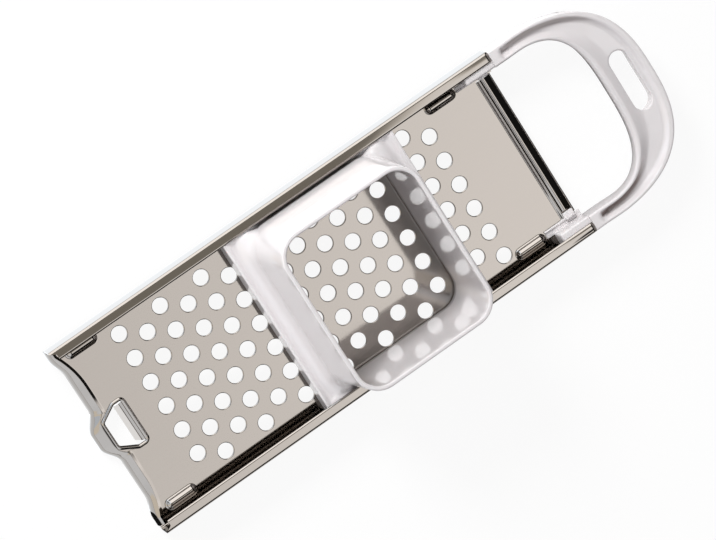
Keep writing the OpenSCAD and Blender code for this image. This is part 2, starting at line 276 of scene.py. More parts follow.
def white_plastic():
    """A glossy shader that goes from the clean colour to the painted shade colour with the groove
    value.
    """
    material, nodes, links, shader = new_material("glossy_white_plastic")
    painted_shade = nodes.new("ShaderNodeAttribute")
    painted_shade.attribute_name = "groove"
    colour = nodes.new("ShaderNodeMix")
    colour.data_type = "RGBA"
    colour.inputs["A"].default_value = clean_colour
    colour.inputs["B"].default_value = painted_shade_colour
    links.new(painted_shade.outputs["Fac"], colour.inputs["Factor"])
    links.new(colour.outputs["Result"], shader.inputs["Base Color"])
    shader.inputs["Subsurface Weight"].default_value = light_share
    shader.inputs["Subsurface Radius"].default_value = (0.9, 0.8, 0.8)
    shader.inputs["Subsurface Scale"].default_value = light_reach
    shader.inputs["IOR"].default_value = 1.5
    gloss = stretched_noise(nodes, links, gloss_scale, evenly, 3)
    links.new(ranged(nodes, links, gloss, *gloss_roughness), shader.inputs["Roughness"])
    waves = stretched_noise(nodes, links, wave_scale, evenly, 1)
    bump(nodes, links, waves, wave_bump, wave_h, shader)
    return material


plastic = white_plastic()
print(plastic.name, "has", len(plastic.node_tree.nodes), "nodes")

# %% [markdown]
# ## A flat sheet with holes
#
# The tray's floor is a flat sheet with 96 holes, a window and raised beads. Cutting holes
# with a Boolean modifier leaves ragged faces, so the sheet is made from its outlines instead.
# The outlines and a few helper loops go into a constrained Delaunay triangulation, the
# triangles outside or in a hole are dropped, and a height is worked out for each point above
# and below. Walls then join top and bottom along every open edge.

# %% Outlines and distances
def circle_loop(x, y, radius, n):
    """n points on a circle, anticlockwise."""
    a = np.arange(n) * 2 * np.pi / n
    return np.stack([x + radius * np.cos(a), y + radius * np.sin(a)], 1)


def stadium_loop(x0, x1, y, radius, n):
    """A slot outline along X: a half circle round each end point, n points each."""
    a = np.linspace(-np.pi / 2, np.pi / 2, n)
    right = np.stack([x1 + radius * np.cos(a), y + radius * np.sin(a)], 1)
    left = np.stack([x0 - radius * np.cos(a), y - radius * np.sin(a)], 1)
    return np.vstack([right, left])


def inside(points, loops):
    """Even-odd rule: True where a ray along +X crosses the loops an odd number of times."""
    count = np.zeros(len(points), int)
    x, y = points[:, 0:1], points[:, 1:2]
    for a in loops:
        b = np.roll(a, -1, axis=0)
        spans = (a[None, :, 1] > y) != (b[None, :, 1] > y)
        slope = (b[:, 0] - a[:, 0]) / np.where(b[:, 1] == a[:, 1], 1e-12, b[:, 1] - a[:, 1])
        at = a[None, :, 0] + (y - a[None, :, 1]) * slope[None]
        count += (spans & (at > x)).sum(1)
    return count % 2 == 1


def curve_distance(xy, curve):
    """Distance from each point to the nearest segment of an open curve."""
    best = np.full(len(xy), 1.0)
    for a, b in zip(curve[:-1], curve[1:]):
        ab = b - a
        t = np.clip(((xy - a) @ ab) / (ab @ ab + 1e-18), 0, 1)[:, None]
        best = np.minimum(best, np.linalg.norm(xy - a - t * ab, axis=1))
    return best


def closed(loop):
    """The loop with its first point once more at its end."""
    return np.vstack([loop, loop[:1]])


ring = circle_loop(0, 0, hole_d / 2, 40)
across_flats = 2 * curve_distance(np.zeros((1, 2)), closed(ring))[0]
print(f"a 40-sided hole is {across_flats / MM:.2f} mm wide across its flats")


# %% Sheets cut from outlines
snap = 1e-7


def triangulate(outlines, helpers=(), dots=()):
    """Points and triangles of the area inside the outlines, with helper loops as edges."""
    loops = list(outlines) + list(helpers)
    points = np.vstack(loops + list(dots))
    edges, start = [], 0
    for loop in loops:
        k = np.arange(len(loop))
        edges.append(np.stack([start + k, start + (k + 1) % len(loop)], 1))
        start += len(loop)
    found = delaunay_2d_cdt([Vector(p) for p in points], np.vstack(edges).tolist(), [], 0, snap)
    xy, tri = np.array([tuple(v) for v in found[0]]), np.array(found[2])
    return xy, tri[inside(xy[tri].mean(1), outlines)]


def solid_sheet(name, xy, tri, top, bottom, sharp=38):
    """A closed mesh from triangles: a skin at height `top`, one at `bottom`, and walls between."""
    n = len(xy)
    points = np.vstack([np.column_stack([xy, top]), np.column_stack([xy, bottom])])
    sides = np.vstack([tri[:, [0, 1]], tri[:, [1, 2]], tri[:, [2, 0]]])
    seen = {tuple(s) for s in sides}
    open_sides = np.array([s for s in map(tuple, sides) if s[::-1] not in seen])
    walls = np.column_stack([open_sides[:, ::-1], open_sides[:, 0] + n, open_sides[:, 1] + n])
    faces = [*tri, *(tri[:, ::-1] + n), *walls]
    used = np.unique(np.concatenate([np.ravel(f) for f in faces]))
    renumber = np.full(2 * n, -1)
    renumber[used] = np.arange(len(used))
    return make_mesh(name, points[used], [renumber[f] for f in faces], sharp)


washer = [circle_loop(0, 0, hole_d, 40), ring]
print("a washer of two loops takes", len(triangulate(washer)[1]), "triangles")

# %% [markdown]
# ## The perforated panel
#
# The front of the panel follows the curved line where the front edge rolls down. Its holes
# are punched, so the upper edge is drawn in by a fraction of a millimetre, which the rings
# round each hole give: a mirror shows such an edge as a thin dark line. Each stop bead is a
# long bump whose height falls off with the distance from its middle line along a circle. In
# front of the crease the sheet rises in a short ramp, and the window has a raised ring.

# %% The curves of the front edge
bend_back, front_drop = 9.5 * MM, 8.0 * MM
corner_fade, corner_full = 17.0 * MM, 5.0 * MM
side_pull, bulge_half = 2.8 * MM, 16.0 * MM
front_reach, bulge_reach = 6.8 * MM, 5.9 * MM
window_front_half, window_back_half = 7.0 * MM, 12.3 * MM
window_l, window_bend = 13.5 * MM, 4.0 * MM
crease_pull, crease_straight, crease_swing = 5.0 * MM, 29.0 * MM, 21.0 * MM
swell_h, swell_run, swell_foot = 0.36 * MM, 1.8 * MM, 0.25
swell_y = [-52, -49, -45, -41, -25, -20, -14, -11.5, 0, 11.5, 14, 18, 24, 60]
swell_share = [0.8, 0.8, 0.5, 0.14, 0.14, 0.5, 0.7, 0, 0, 0, 0.55, 0.6, 1, 1]


def at_rail(y):
    """1 beside the rails, 0 from corner_fade inward."""
    return ease(panel_half - corner_fade, panel_half - corner_full, np.abs(y))


def crease_x(y):
    """The line of the front crease: straight, then a parabola that swings forward to each rail."""
    swing = np.clip((np.abs(y) - crease_straight) / crease_swing, 0, 1)
    return front_x + bend_back - crease_pull * swing ** 2


def bend_x(y):
    """Where the front roll starts: along the crease, and further forward in front of the window."""
    at_window = 1 - ease(window_front_half + 1 * MM, bulge_half - 1 * MM, np.abs(y))
    return np.minimum(crease_x(y), front_x + bend_back - (bend_back - window_bend) * at_window)


def swell(x, y):
    """The ramp in front of the crease: a parabola over its foot, then straight.

    Its share of the full height is read from a table over y: full beside the left rail, none
    at the window, and low on most of the other half.
    """
    u = np.clip((crease_x(y) - x) / swell_run, 0, 1)
    ramp = np.where(u < swell_foot, u ** 2 / (2 * swell_foot), u - swell_foot / 2)
    return swell_h * np.interp(y / MM, swell_y, swell_share) * ramp / (1 - swell_foot / 2)


def roll_front_x(y):
    """The foremost line of the front roll: straight, with a bulge in the middle and flared ends."""
    bulge = 1 - ease(bulge_half / 4, bulge_half, np.abs(y))
    return front_x + bend_back - front_reach - bulge_reach * bulge - side_pull * at_rail(y)


for y in (0, 30 * MM, panel_half):
    print(f"at y {y / MM:.0f} mm the roll's front is at x {roll_front_x(y) / MM:.1f} mm")

# %% The panel's outlines
window_front = front_x + 5.5 * MM
window_back = window_front + window_l
window_shoulder = 4.5 * MM
window_radii = np.array([1.6, 2.4, 1.2, 1.2, 2.4, 1.6]) * MM
roll_start = end_low.x
strip_y = end_high.y + 0.4 * MM


def round_corners(corners, radii, n=7):
    """A closed polygon with an arc of n points in place of each corner."""
    corners = np.asarray(corners, float)
    out = []
    for k, r in enumerate(radii):
        p, a, b = corners[k], corners[k - 1], corners[(k + 1) % len(corners)]
        u, v = (a - p) / np.linalg.norm(a - p), (b - p) / np.linalg.norm(b - p)
        half = np.arccos(np.clip(u @ v, -1, 1)) / 2
        centre = p + (u + v) / np.linalg.norm(u + v) * r / np.sin(half)
        start, stop = p + u * r / np.tan(half), p + v * r / np.tan(half)
        t = np.linspace(0, 1, n)[:, None]
        chord = start + (stop - start) * t - centre
        out.append(centre + chord / np.linalg.norm(chord, axis=1)[:, None] * r)
    return np.vstack(out)


def window_loop(grow):
    """The window's outline, with rounded corners, grown by a margin."""
    front, back = window_front - grow, window_back + grow
    shoulder = window_back - window_shoulder - grow / 2
    f, b = window_front_half + grow, window_back_half + grow
    corners = [(front, -f), (shoulder, -b), (back, -b), (back, b), (shoulder, b), (front, f)]
    return round_corners(corners, window_radii + grow)


def panel_loop():
    """The panel's outline: the curved front, straight sides and strips beside the rolled end."""
    y = np.linspace(-panel_half, panel_half, 181)
    front = np.stack([bend_x(y), y], 1)[::-1]
    rear = np.array([
        (rear_x, -panel_half), (rear_x, -strip_y), (roll_start, -strip_y),
        (roll_start, strip_y), (rear_x, strip_y), (rear_x, panel_half),
    ])
    return np.vstack([front, rear])


def hole_centres():
    """The staggered pattern: every second column, from the first on, is half a pitch further."""
    c, r = np.meshgrid(np.arange(hole_columns), np.arange(hole_rows), indexing="ij")
    x = (c - (hole_columns - 1) / 2) * column_step
    y = (r + 0.5 * ((c + 1) % 2) - (hole_rows - 0.5) / 2) * hole_pitch
    return np.stack([x.ravel(), y.ravel()], 1)


print(len(hole_centres()), "hole centres,", len(window_loop(0)), "points round the window")

# %% The relief of the panel
hole_n = 40
hole_rings = np.array([0.12, 0.35, 0.5]) * MM
window_rings = np.array([0.12, 0.3, 0.5, 0.75, 1.0, 1.25, 1.5, 1.75, 2.0, 2.2]) * MM
bead_rings = np.array([0.6, 1.2, 1.7, 2.1, 2.4, 2.7, 3.05, 3.4, 3.6]) * MM
punch_drop, punch_run = 0.16 * MM, 0.35 * MM
window_drop, window_run = 0.25 * MM, 0.3 * MM
hem_w, hem_h = 2.0 * MM, 0.45 * MM
tongue_w = 24.0 * MM
bead_foot_w, bead_foot_h = 0.7 * MM, 0.35 * MM
bead_ends = [
    (-front_stop - bead_l + bead_w / 2, -front_stop - bead_w / 2, front_bead_y),
    (rear_stop + bead_w / 2, rear_stop + bead_l - bead_w / 2, rear_bead_y),
]
beads = [(x0, x1, side * y) for x0, x1, y in bead_ends for side in (-1, 1)]


def bead_height(xy):
    """Each bead is a circular arc across its width, with a short concave foot."""
    arc_r = (bead_w ** 2 / 4 + bead_h ** 2) / (2 * bead_h)
    height = np.zeros(len(xy))
    for x0, x1, y in beads:
        d = np.hypot(xy[:, 0] - np.clip(xy[:, 0], x0, x1), xy[:, 1] - y)
        arch = np.sqrt(np.maximum(arc_r ** 2 - d ** 2, 0)) - (arc_r - bead_h)
        fade = ease(bead_w / 2 - 0.35 * MM, bead_w / 2 + bead_foot_w, d)
        height = np.maximum(height, np.maximum(arch, bead_foot_h * (1 - fade)))
    return height


def edge_fall(distance, depth, run):
    """How far a cut edge is drawn in: depth at the edge, and 0 from run on, by a square root."""
    return depth * (1 - np.sqrt(np.clip(distance / run, 0, 1)))


def ramp_dots():
    """Points on the ramp beside the window, in rows that follow the crease."""
    y = np.linspace(11 * MM, 17 * MM, 13)
    y = np.concatenate([-y, y])
    x = crease_x(y) - np.linspace(0, 1.8, 10)[:, None] * MM
    dots = np.stack([x, np.broadcast_to(y, x.shape)], -1).reshape(-1, 2)
    return dots[dots[:, 0] > bend_x(dots[:, 1]) + 0.1 * MM]


print(len(beads), "beads,", len(ramp_dots()), "points on the ramp beside the window")


# %% The panel's mesh
def build_panel():
    """Beads, ramp and ring lift both skins, and the upper one falls at each cut edge."""
    centres = hole_centres()
    outlines = [panel_loop(), window_loop(0)]
    outlines += [circle_loop(x, y, hole_d / 2, hole_n) for x, y in centres]
    rings = [circle_loop(x, y, hole_d / 2 + d, hole_n) for x, y in centres for d in hole_rings]
    rings += [window_loop(d) for d in window_rings]
    rings += [stadium_loop(x0, x1, y, r, 13) for x0, x1, y in beads for r in bead_rings]
    spines = [np.stack([np.linspace(x0, x1, 15), np.full(15, y)], 1) for x0, x1, y in beads]
    xy, tri = triangulate(outlines, rings, spines + [ramp_dots()])
    to_centre = np.min([np.hypot(xy[:, 0] - x, xy[:, 1] - y) for x, y in centres], axis=0)
    to_window = curve_distance(xy, closed(window_loop(0)))
    off_tongue = np.maximum(ease(tongue_w / 2 - 1 * MM, tongue_w / 2, np.abs(xy[:, 1])),
                            xy[:, 0] < window_back - 0.5 * MM)
    drawn = edge_fall(to_centre - hole_d / 2, punch_drop, punch_run)
    drawn += off_tongue * edge_fall(to_window, window_drop, window_run)
    hem = hem_h * np.sin(np.pi * np.clip(to_window / hem_w, 0, 1)) ** 1.5
    lift = bead_height(xy) + np.maximum(hem, swell(xy[:, 0], xy[:, 1]))
    bottom = np.maximum(lift - 0.1 * MM, 0) - drawn / 2
    mesh = solid_sheet("perforated_panel", xy, tri, deck_z + lift - drawn, bottom)
    add_piece("perforated_sheet", [mesh], "tray", steel, ["perforated_panel"])


build_panel()

# %% [markdown]
# ## The rails
#
# Each rail is the same sheet folded twice: up, then in. Its section is worked out as one
# middle line with two arcs, shifted half the sheet's thickness to each side and closed with
# round ends. Solidify could give the thickness as well, but would leave the lip's edge sharp.
# Carried along X the section gives the rail, and the lip starts a little further back than
# the wall. Folding never leaves a lip quite flat, so it falls by a few tenths of a millimetre
# to the fold, bulges over the handle's leg and rolls down along its free edge.

# %% Lines with a thickness
cap_n = 5


def arc(cx, cy, radius, start, stop, n):
    """n points on an arc from start to stop, in degrees."""
    a = np.radians(np.linspace(start, stop, n))
    return np.stack([cx + radius * np.cos(a), cy + radius * np.sin(a)], 1)


def directions(curve):
    """The unit step along a curve at each of its points."""
    step = np.gradient(curve, axis=0)
    return step / np.linalg.norm(step, axis=1)[:, None]


def thick_line(middle, thickness):
    """A closed outline round an open line: half the thickness each way, with round ends."""
    step = directions(middle)
    side = np.stack([-step[:, 1], step[:, 0]], 1) * thickness / 2
    turn = np.linspace(0, np.pi, cap_n + 2)[1:-1, None]
    cap_end = middle[-1] + side[-1] * np.cos(turn) + step[-1] * thickness / 2 * np.sin(turn)
    cap_start = middle[0] - side[0] * np.cos(turn) - step[0] * thickness / 2 * np.sin(turn)
    return np.vstack([middle + side, cap_end, (middle - side)[::-1], cap_start])


def strip_faces(m, columns):
    """Quads of a thick line of m middle points carried over columns, and both of its end faces.

    An end face is a row of quads between the two sides of the line and a fan at each round end.
    """
    rows = 2 * (m + cap_n)
    faces = list(grid_faces(rows, columns, closed_rows=True))
    for column in (0, columns - 1):
        rim = np.arange(rows) * columns + column
        outer, inner = rim[:m], rim[m + cap_n:2 * m + cap_n][::-1]
        faces += [[outer[k], outer[k + 1], inner[k + 1], inner[k]] for k in range(m - 1)]
        faces += [list(rim[m - 1:m + cap_n + 1]), list(rim[2 * m + cap_n - 1:]) + [rim[0]]]
    return faces


print("a thick line of 4 points, carried over 2 columns, has", len(strip_faces(4, 2)), "faces")


# %% The rails' section
def rail_middle():
    """The middle line of the +Y rail in Y and Z: floor, fold, wall, fold, lip."""
    r = fold_r - sheet_t / 2
    low = arc(panel_half, fold_r, r, -90, 0, 12)
    high = arc(panel_half, rail_top - fold_r, r, 0, 90, 16)
    flat = np.array([[panel_half - 0.2 * MM, sheet_t / 2]])
    wall = np.stack([np.full(5, panel_half + r), np.linspace(low[-1, 1], high[0, 1], 7)[1:-1]], 1)
    near_edge = lip_edge + 1.4 * MM
    lip_y = np.concatenate([np.linspace(panel_half, near_edge, 10)[1:],
                            np.linspace(near_edge, lip_edge + sheet_t / 2, 8)[1:]])
    lip = np.stack([lip_y, np.full(len(lip_y), rail_top - sheet_t / 2)], 1)
    return np.vstack([flat, low, wall, high, lip])


print("the rail's section has", len(thick_line(rail_middle(), sheet_t)), "points")

# %% The shape of the lips
lip_fall_x, lip_fall = [-130, -50, 20, 75, 110], [0.4, 0.42, 0.4, 0.2, 0.1]
lip_fall_share = {1: 1, -1: 0.1}
lip_bulge = {1: 0.05 * MM, -1: 0.42 * MM}
bulge_from, bulge_to = rear_x - 30 * MM, rear_x - 4 * MM
lip_droop, droop_l = 0.5 * MM, 2.0 * MM
lip_roll, lip_roll_w = 0.4 * MM, 1.1 * MM


def lip_shape(x, y, z, side):
    """How far the lip lies off its plane: bulge less fall, droop and roll.

    The bulge over the leg is half a sine wave across the lip, the fall grows to the fold with
    a power of 1.2, the droop comes at the rear end, and the roll is on the upper skin only.
    Fall and bulge differ between the sides, 1 for the left rail and -1 for the right one.
    """
    across = np.clip((y - lip_edge) / (panel_half - lip_edge), 0, 1)
    on_lip = ease(rail_top - fold_r, rail_top, z + (y < panel_half) * fold_r)
    fall = np.interp(x / MM, lip_fall_x, lip_fall) * MM * lip_fall_share[side]
    bulge = lip_bulge[side] * ease(bulge_from, bulge_to, x)
    droop = lip_droop * ease(rear_x - droop_l, rear_x, x) ** 2
    upper = ease(rail_top - sheet_t, rail_top, z)
    roll = lip_roll * upper * (1 - np.clip((y - lip_edge) / lip_roll_w, 0, 1)) ** 1.6
    return on_lip * (bulge * np.sin(np.pi * across) - fall * across ** 1.2 - droop - roll)


print(f"the left lip is {(panel_half - lip_edge) / MM:.1f} mm wide and falls by {max(lip_fall)} mm")


# %% The rails' meshes
def build_rail(side, name, piece_name):
    """The section carried along X; side -1 mirrors it, and lip_cut pulls the lip's front back."""
    middle = rail_middle()
    section = thick_line(middle, sheet_t)
    high = section[:, 1] > rail_top - 2 * sheet_t
    cut = lip_cut * ease(panel_half + 1 * MM, panel_half - 1.5 * MM, section[:, 0])
    start = front_x + np.where(high, cut, 0)
    full = rear_x - front_x
    along = np.concatenate([[0, 0.12 * MM, 0.4 * MM], np.linspace(4 * MM, full - 4 * MM, 60),
                            full - np.array([2.4, 1.4, 1.1, 0.8, 0.5, 0.25, 0.1, 0]) * MM])
    x = start[:, None] + (rear_x - start)[:, None] * (along / full)[None, :]
    y = np.repeat(section[:, :1], len(along), 1)
    z = np.repeat(section[:, 1:], len(along), 1)
    points = np.stack([x, y * side, z + lip_shape(x, y, z, side)], -1)
    mesh = make_mesh(name, points.reshape(-1, 3), strip_faces(len(middle), len(along)))
    add_piece(piece_name, [mesh], "tray", steel, [name])


build_rail(1, "left_rail", "folded_left_rail")
build_rail(-1, "right_rail", "folded_right_rail")

# %% [markdown]
# ## The front roll, the tongue and the rolled end
#
# These three are strips of the sheet whose side view is a line that bends. A curve with a
# bevel could follow such a line, but its width couldn't change on the way, so each is a grid:
# one direction runs along the side view, worked out with its thickness as above, and the
# other runs across the tray. The front roll's side view changes across the tray, because its
# reach grows towards the middle bulge, so its grid is worked out from two functions of y.

# %% The front roll
skirt_l = 2.0 * MM
ellipse_start = 8.0


def roll_side(start, flat, front, y, ramp, angle):
    """X and Z of the outer and the inner skin, from the roll's start to its lowest line.

    Both go from start to flat along the ramp, then along part of a quarter ellipse, which
    leaves level with the ramp's slope and ends upright at front.
    """
    first = angle[0, 0]
    out = (np.sin(angle) - np.sin(first)) / (1 - np.sin(first))
    down = (np.cos(first) - np.cos(angle)) / np.cos(first)
    ramp_x = start + (flat - start) * ramp
    ramp_z = deck_z + swell(ramp_x, y)
    crest = deck_z + swell(flat, y)
    fall = crest - deck_z + front_drop - skirt_l
    outer_x = np.vstack([ramp_x, flat - (flat - front) * out])
    outer_z = np.vstack([ramp_z, crest - fall * down])
    inner_x = np.vstack([ramp_x, flat - (flat - front - sheet_t) * out])
    inner_z = np.vstack([ramp_z - sheet_t, crest - sheet_t - (fall - sheet_t) * down])
    return outer_x, outer_z, inner_x, inner_z


def build_front_roll():
    """Outer skin, half a circle round the lowest edge, and inner skin, as one closed grid."""
    y = np.linspace(-panel_half, panel_half, 241)
    start, front = bend_x(y), roll_front_x(y)
    flat = np.minimum(crease_x(y) - swell_run, start - 0.05 * MM)
    ramp = np.append(np.linspace(0, 1, 11)[:-1], 0.98)[:, None]
    angle = np.radians(np.append(ellipse_start, np.linspace(8.6, 90, 19)))[:, None]
    outer_x, outer_z, inner_x, inner_z = roll_side(start, flat, front, y, ramp, angle)
    turn = np.radians(np.linspace(180, 360, 9))[:, None]
    edge_x = outer_x[-1] + sheet_t / 2 + sheet_t / 2 * np.cos(turn)
    edge_z = deck_z - front_drop + sheet_t / 2 + sheet_t / 2 * np.sin(turn) + 0 * y
    x = np.vstack([outer_x, edge_x, inner_x[::-1]])
    z = np.vstack([outer_z, edge_z, inner_z[::-1]])
    points = np.stack([x, np.broadcast_to(y, x.shape), z], -1)
    rows, columns = x.shape
    faces = list(grid_faces(rows, columns, closed_rows=True))
    half = rows // 2
    for column in (0, columns - 1):
        rim = np.arange(rows) * columns + column
        back = rim[::-1]
        faces += [[rim[k], rim[k + 1], back[k + 1], back[k]] for k in range(half - 1)]
        faces += [[rim[half - 1], rim[half], rim[half + 1]]]
    mesh = make_mesh("front_roll", points.reshape(-1, 3), faces)
    add_piece("rolled_front_edge", [mesh], "tray", steel, ["front_roll"])


build_front_roll()

# %% The tongue
tongue_bend_r, tongue_l, tongue_angle = sheet_t + 1.5 * MM, 6.0 * MM, 65.0
tongue_tip_w = 14.4 * MM


def bent_strip(name, middle, half_width):
    """A strip whose side view is the line `middle` in X and Z, with a half width at each point."""
    section = thick_line(middle, sheet_t)
    width = np.concatenate([half_width, np.full(cap_n, half_width[-1]),
                            half_width[::-1], np.full(cap_n, half_width[0])])
    across = np.concatenate([[-1, -0.985, -0.95], np.linspace(-0.85, 0.85, 9), [0.95, 0.985, 1]])
    x = np.repeat(section[:, :1], len(across), 1)
    z = np.repeat(section[:, 1:], len(across), 1)
    points = np.stack([x, width[:, None] * across[None, :], z], -1).reshape(-1, 3)
    return make_mesh(name, points, strip_faces(len(middle), len(across)))


def build_tongue():
    """An arc down from the window's rear edge and a straight end, narrowing towards its tip."""
    r = tongue_bend_r - sheet_t / 2
    bend = arc(window_back, deck_z - tongue_bend_r, r, 90, 90 + tongue_angle, 14)
    a = math.radians(tongue_angle)
    way = np.array([-math.cos(a), -math.sin(a)])
    straight = bend[-1] + way * np.linspace(0, tongue_l - sheet_t / 2, 8)[1:, None]
    middle = np.vstack([bend, straight])
    share = (window_back - middle[:, 0]) / window_l
    half_width = (tongue_w + (tongue_tip_w - tongue_w) * share) / 2
    mesh = bent_strip("hook_tongue", middle, half_width)
    add_piece("bent_hook_tongue", [mesh], "tray", steel, ["hook_tongue"])


build_tongue()

# %% The rolled end
ridge_h, roll_r, slope_deg = 1.2 * MM, 5.0 * MM, 20
step_share, groove_h = 0.8, 0.25 * MM
step_x, groove_x, crest_x = [roll_start + d * MM for d in (1.9, 3.1, 4.2)]
top_r, low_r = 2.0 * MM, 1.6 * MM


def build_rolled_end():
    """Side view: a low step, a groove, a crest, a slope that tilts by slope_deg and a skirt."""
    level = sheet_t / 2
    x = np.concatenate([np.linspace(roll_start + level, step_x, 10),
                        np.linspace(step_x, groove_x, 8)[1:],
                        np.linspace(groove_x, crest_x, 8)[1:]])
    step = step_share * ridge_h * ease(roll_start + level, step_x, x)
    groove = -groove_h * ease(step_x, groove_x, x)
    crest = ((1 - step_share) * ridge_h + groove_h) * ease(groove_x, crest_x, x)
    ridge = np.stack([x, level + step + groove + crest], 1)
    top = arc(end_high.x - roll_r, deck_z + ridge_h - level - top_r, top_r, 90, 90 - slope_deg, 8)
    low = arc(end_high.x - level - low_r, 0, low_r, 90 - slope_deg, 0, 10)
    run = low[0, 0] - top[-1, 0]
    low[:, 1] += top[-1, 1] - run * math.tan(math.radians(slope_deg)) - low[0, 1]
    slope = top[-1] + (low[0] - top[-1]) * np.linspace(0, 1, 8)[1:-1, None]
    down = np.linspace(low[-1, 1], end_low.z + level, 6)[1:]
    skirt = np.stack([np.full(5, low[-1, 0]), down], 1)
    middle = np.vstack([ridge, top, slope, low, skirt])
    mesh = bent_strip("rolled_end", middle, np.full(len(middle), end_high.y))
    add_piece("rolled_handle_end", [mesh], "tray", steel, ["rolled_end"])


build_rolled_end()

# %% [markdown]
# ## The hopper
#
# The hopper is one closed skin, like a stretched ring. One direction of its grid runs round
# the opening, along rounded rectangles that all have the same number of points on each
# corner and side. The other runs up the inside, over the rim, down the outside, out over
# the base and back underneath. A box with a bevel and a Boolean for the shaft could start
# it, but the sweep at its foot needs a height that is a function of the place: a concave
# sweep up to the wall, a raised brim at both ends and a fall beside the long walls, where the
# base is cut back to the wall between its four runners.

# %% Rounded rectangles
corner_n, side_n = 14, 22


def rounded_rect(half_x, half_y, r):
    """Points round a rounded rectangle, from the +X side anticlockwise, evenly spaced by part."""
    parts = []
    for k, (sx, sy) in enumerate([(1, 1), (-1, 1), (-1, -1), (1, -1)]):
        parts.append(arc(sx * (half_x - r), sy * (half_y - r), r, 90 * k, 90 * k + 90, corner_n))
    out = []
    for k in range(4):
        a, b = parts[k][-1], parts[(k + 1) % 4][0]
        t = np.linspace(0, 1, side_n + 2)[1:-1, None]
        out += [parts[k], a + (b - a) * t]
    return np.vstack(out)


def rect_distance(xy, half_x, half_y, r):
    """Distance outside a rounded rectangle, negative inside."""
    q = np.abs(xy) - np.array([half_x - r, half_y - r])
    return np.linalg.norm(np.maximum(q, 0), axis=-1) + np.minimum(q.max(-1), 0) - r


print("each ring of the hopper has", len(rounded_rect(1, 1, 0.1)), "points")

# %% The height of the base
lip_under = rail_top - sheet_t
shelf_z, brim_z = lip_under - run_gap, rail_top - run_gap
mid_half = lip_edge - 2 * run_gap
wall_x, wall_y, wall_r = mouth_l / 2 + wall_t, mouth_w / 2 + wall_t, corner_r + wall_t
shelf_dip, dip_l = 0.9 * MM, 7.0 * MM


def base_height(xy):
    """Shelf less dip, plus brim and sweep, down to the runners' height beside the long walls.

    The sweep is a quarter circle on the distance from the wall, the dip half a sine wave
    behind the brim, and the rest are eased steps in x and y.
    """
    x, y = np.abs(xy[:, 0]), np.abs(xy[:, 1])
    d = np.maximum(rect_distance(xy, wall_x, wall_y, wall_r), 0)
    sweep = sweep_r - np.sqrt(np.maximum(sweep_r ** 2 - np.maximum(sweep_r - d, 0) ** 2, 0))
    free = ease(mid_half, mid_half - 2.2 * MM, y)
    beside = ease(wall_x - 4 * MM, wall_x - 15 * MM, x)
    beside *= ease(wall_y - 2 * MM, wall_y - 0.4 * MM, y)
    brim = ease(base_half - brim_w - 1.2 * MM, base_half - brim_w + 0.2 * MM, x)
    brim *= ease(mid_half + 0.2 * MM, mid_half - 0.3 * MM, y)
    dip = shelf_dip * np.sin(np.pi * np.clip((base_half - brim_w - x) / dip_l, 0, 1)) * free
    high = shelf_z - dip + (brim_z - shelf_z) * brim + sweep * free * (1 - brim)
    return high + (base_z + runner_h - high) * beside


print(f"the shelf lies at {shelf_z / MM:.1f} mm, its brim at {brim_z / MM:.1f} mm")

# %% The hopper's wall
rim_round, foot_round = 0.9 * MM, 0.3 * MM
sweep_top = shelf_z + sweep_r


def ring_at(xy, z):
    """A ring of points at one height, or at a height of its own for each point."""
    return np.column_stack([xy, np.broadcast_to(z, len(xy))])


def wall_ring(z, margin, upright_to=deck_z):
    """A ring of the wall, which leans in above upright_to; margin 0 is its inner face."""
    lean = wall_lean * (z - upright_to) / (rim_z - upright_to)
    xy = rounded_rect(mouth_l / 2 - lean + margin, mouth_w / 2 - lean + margin, corner_r + margin)
    return ring_at(xy, z)


def wall_rings():
    """Up the inside, over the rim along two quarter circles, down the outside to the sweep."""
    rings = [wall_ring(z, 0) for z in np.linspace(base_z + foot_round, rim_z - rim_round, 16)]
    for a in np.radians(np.linspace(0, 90, 7)[1:]):
        below, margin = rim_round * (1 - math.sin(a)), rim_round * (1 - math.cos(a))
        rings.append(wall_ring(rim_z - below, margin))
    for a in np.radians(np.linspace(90, 0, 7)):
        below, margin = rim_round * (1 - math.sin(a)), wall_t - rim_round * (1 - math.cos(a))
        rings.append(wall_ring(rim_z - below, margin, sweep_top))
    outside = np.linspace(rim_z - rim_round, sweep_top, 14)[1:]
    return rings + [wall_ring(z, wall_t, sweep_top) for z in outside]


print("the wall is made of", len(wall_rings()), "rings")

# %% The hopper's base
edge_round = 0.5 * MM
edge_margin, side_margin = 0.05 * MM, 0.2 * MM


def cut_sides(loop, margin):
    """Pulls a base outline's long sides in to the margin from the wall between the runners."""
    x, y = loop[:, 0], loop[:, 1]
    cut = ease(wall_x - 2 * MM, wall_x - 9 * MM, np.abs(x)) * (np.abs(y) > wall_y)
    return np.stack([x, np.sign(y) * (np.abs(y) + (wall_y + margin - np.abs(y)) * cut)], 1)


